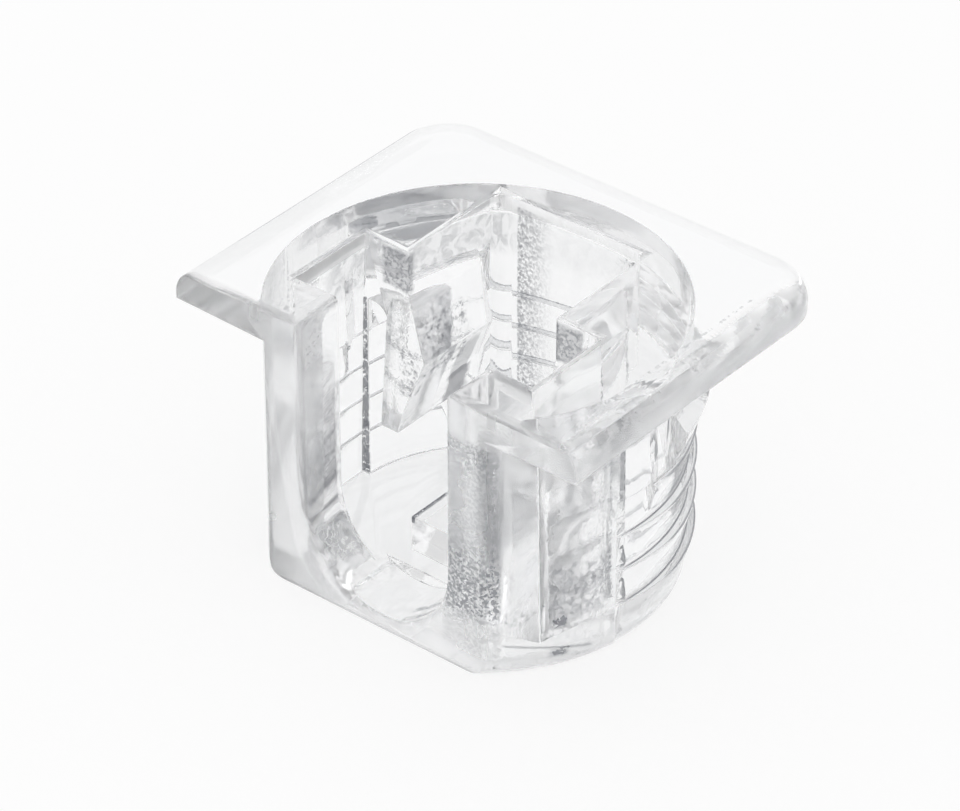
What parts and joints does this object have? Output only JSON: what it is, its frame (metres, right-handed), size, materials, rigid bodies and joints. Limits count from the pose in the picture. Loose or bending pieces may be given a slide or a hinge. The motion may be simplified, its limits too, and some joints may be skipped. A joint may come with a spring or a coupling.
{
  "type": "shelf support housing",
  "caption": "Clear plastic press-fit housing for a shelf: a flanged, barbed round body with a flat front, whose open slot takes the head of a supporting bolt.",
  "frame": {"origin": "the point where the axis of the drilled hole meets the base of the body", "axes": "+Z runs along the drilled hole's axis from the base to the flange, +X across the flat front, and the flat front faces -Y"},
  "size_m": [0.0238, 0.0193, 0.0152],
  "materials": {
    "clear_plastic": "water-clear moulded plastic, glossy outside, with softly uneven and locally frosted surfaces inside the cavity"
  },
  "bodies": {
    "root": {"housing": "clear_plastic"}
  },
  "joints": []
}
